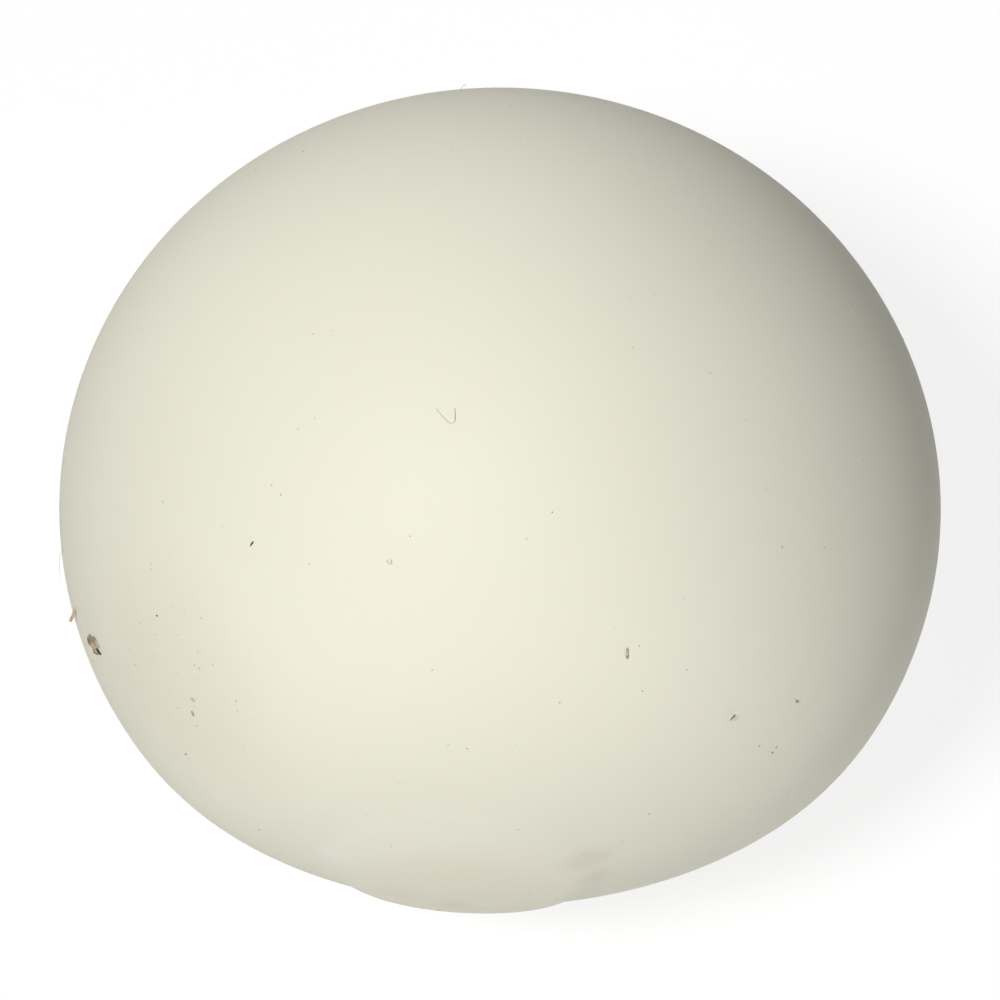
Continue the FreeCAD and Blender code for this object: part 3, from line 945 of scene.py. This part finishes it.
def hair(name, material, place, offsets, half_thickness=HAIR_HALF_THICKNESS):
    """A thin tube along points given by their millimetres east, north and above a place on the skin."""
    data = bpy.data.curves.new(name + "_line", "CURVE")
    data.dimensions = "3D"
    data.bevel_depth = half_thickness
    data.bevel_resolution = 2
    data.use_fill_caps = True
    line = data.splines.new("NURBS")
    line.points.add(len(offsets) - 1)
    for point, (to_east, to_north, lift) in zip(line.points, offsets):
        point.co = (*on_ball(*beside(place, to_east, to_north), lift * MM), 1.0)
        point.radius = TAPER
    line.order_u = 3
    line.use_endpoint_u = True
    worker = bpy.data.objects.new(name + "_worker", data)
    bpy.context.scene.collection.objects.link(worker)
    mesh = bpy.data.meshes.new_from_object(worker.evaluated_get(bpy.context.evaluated_depsgraph_get()))
    bpy.data.objects.remove(worker)
    mesh.name = name
    mesh.materials.append(material)
    piece = bpy.data.objects.new(name, mesh)
    bpy.context.scene.collection.objects.link(piece)
    close_up(piece)
    return add_dirt(piece)


hair("bent_hair", grey_hair, BENT_HAIR, [
    (-0.6, 0.4, 0.03), (-0.3, 0.0, 0.03), (0.0, -0.3, 0.02),
    (0.2, -0.2, 0.03), (0.2, 0.1, 0.05), (0.2, 0.4, 0.03)])
hair("hair_loop", grey_hair, HAIR_LOOP, [
    (-0.2, 0.1, 0.02), (-0.1, -0.1, 0.03), (0.1, -0.1, 0.04), (0.0, 0.1, 0.02)])
hair("sticking_flake", tan_dirt, FLAKE, [
    (0.5, 0.1, 0.0), (0.0, 0.0, 0.1), (-0.5, -0.1, 0.3)], FLAKE_HALF_THICKNESS)
hair("top_fluff", grey_hair, TOP_FLUFF, [
    (-0.1, 0.0, 0.0), (0.0, -0.2, 0.14), (0.1, 0.0, 0.2), (0.2, -0.3, 0.12)])
hair("side_fluff", pale_lint, SIDE_FLUFF, [
    (1.7, -0.2, 0.0), (0.5, 0.0, 0.1), (-0.9, 0.1, 0.2), (-1.4, -0.4, 0.25)])

# %% [markdown]
# ## The cement
# The bead is inside the ball and never seen unless it is cut open. The CAD ring already has its shape, so it
# stays, and gets the clear amber of old celluloid cement.


# %% Cement on the CAD ring
AMBER = (0.62, 0.45, 0.20, 1.0)
PALE_AMBER = (0.78, 0.66, 0.42, 1.0)


def make_cement():
    """Amber cement, a little cloudy, still glossy."""
    material, tree, shader = new_material("amber_cement")
    cloud = use_mask(tree, cloud_group, {"Size": 1.2})
    feed(tree, shader.inputs["Base Color"], tinted(tree, AMBER, PALE_AMBER, cloud))
    shader.inputs["Roughness"].default_value = 0.25
    return material


cement_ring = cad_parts["seam_cement"]
cement_ring.data.materials.clear()
cement_ring.data.materials.append(make_cement())

# %% [markdown]
# ## Floor, light and camera
# The ball lies on a pale table and is looked at from above, a little from the boss's side. The light is soft
# and comes from the left and from above, so the right-hand limb falls off to a grey-green. The table ends
# inside the lit area, and the room past it is the same white, so no edge shows in a low view.

# %% Floor
CENTRE = Vector((0.0, 0.0, 0.0))
FLOOR_HALF = 0.4
TABLE_GAP = 0.02 * MM
TABLE_BOUNCE = (0.80, 0.80, 0.80, 1.0)
TABLE_SEEN = (0.18, 0.18, 0.18, 1.0)
TABLE_GLOW = 0.84


def make_floor():
    """A pale table under the ball's lowest point."""
    mesh = bpy.data.meshes.new("table_top")
    level = -EQUATOR - TABLE_GAP
    corners = [(-FLOOR_HALF, -FLOOR_HALF), (FLOOR_HALF, -FLOOR_HALF), (FLOOR_HALF, FLOOR_HALF),
               (-FLOOR_HALF, FLOOR_HALF)]
    mesh.from_pydata([(x, y, level) for x, y in corners], [], [(0, 1, 2, 3)])
    floor = bpy.data.objects.new("table_top", mesh)
    bpy.context.scene.collection.objects.link(floor)
    material, tree, shader = new_material("pale_table")
    seen = Number(tree, tree.nodes.new("ShaderNodeLightPath").outputs["Is Camera Ray"])
    feed(tree, shader.inputs["Base Color"], tinted(tree, TABLE_BOUNCE, TABLE_SEEN, seen))
    shader.inputs["Roughness"].default_value = 0.9
    shader.inputs["Specular IOR Level"].default_value = 0.0
    shader.inputs["Emission Color"].default_value = (1.0, 1.0, 1.0, 1.0)
    feed(tree, shader.inputs["Emission Strength"], seen * TABLE_GLOW)
    mesh.materials.append(material)
    return floor


make_floor()

# %% Lights
LIGHT_DISTANCE = 0.6
LIGHTS = (
    # name, azimuth and elevation in degrees, side in metres, power in watts
    ("key_softbox", -45, 65, 0.12, 3.12),
    ("back_softbox", 180, 25, 0.35, 0.9),
    ("low_front_softbox", 30, 3, 0.35, 1.2),
)
ROOM_GLOW = 1.0


def direction_from(azimuth, elevation):
    """The direction towards a light or a camera: azimuth 0 is -Y, and 90 is +X."""
    turn = math.radians(azimuth)
    tilt = math.radians(elevation)
    return Vector((math.sin(turn) * math.cos(tilt), -math.cos(turn) * math.cos(tilt), math.sin(tilt)))


def aim(thing, target):
    """Turns a light or a camera so that it looks at the target."""
    thing.rotation_euler = (target - thing.location).to_track_quat("-Z", "Y").to_euler()


def make_light(name, azimuth, elevation, side, power):
    """A square soft light that faces the ball."""
    data = bpy.data.lights.new(name, "AREA")
    data.shape = "SQUARE"
    data.size = side
    data.energy = power
    light = bpy.data.objects.new(name, data)
    light.visible_camera = False
    light.location = direction_from(azimuth, elevation) * LIGHT_DISTANCE
    aim(light, CENTRE)
    bpy.context.scene.collection.objects.link(light)
    return light


for entry in LIGHTS:
    make_light(*entry)


def make_surroundings():
    """A pale room that the camera sees, but that gives no light of its own."""
    world = bpy.data.worlds.new("pale_room")
    world.use_nodes = True
    tree = world.node_tree
    background = tree.nodes["Background"]
    background.inputs["Color"].default_value = (1.0, 1.0, 1.0, 1.0)
    seen = Number(tree, tree.nodes.new("ShaderNodeLightPath").outputs["Is Camera Ray"])
    feed(tree, background.inputs["Strength"], seen * ROOM_GLOW)
    bpy.context.scene.world = world


make_surroundings()
bpy.context.scene.view_settings.view_transform = "Standard"

# %% Camera
CAMERA_DISTANCE = 251.5 * MM
CAMERA_AZIMUTH = 0.42
CAMERA_ELEVATION = 67.6
LENS = 195.0
AIM_UP = 0.47 * MM


def make_camera():
    """A long lens, close above the ball, with its axis a little past the ball's centre."""
    data = bpy.data.cameras.new("camera")
    data.lens = LENS
    data.sensor_width = 36.0
    data.clip_start = 0.01
    camera = bpy.data.objects.new("camera", data)
    bpy.context.scene.collection.objects.link(camera)
    camera.location = direction_from(CAMERA_AZIMUTH, CAMERA_ELEVATION) * CAMERA_DISTANCE
    aim(camera, CENTRE)
    up = camera.rotation_euler.to_matrix() @ Vector((0, 1, 0))
    camera.location += up * AIM_UP
    bpy.context.scene.camera = camera
    return camera


make_camera()
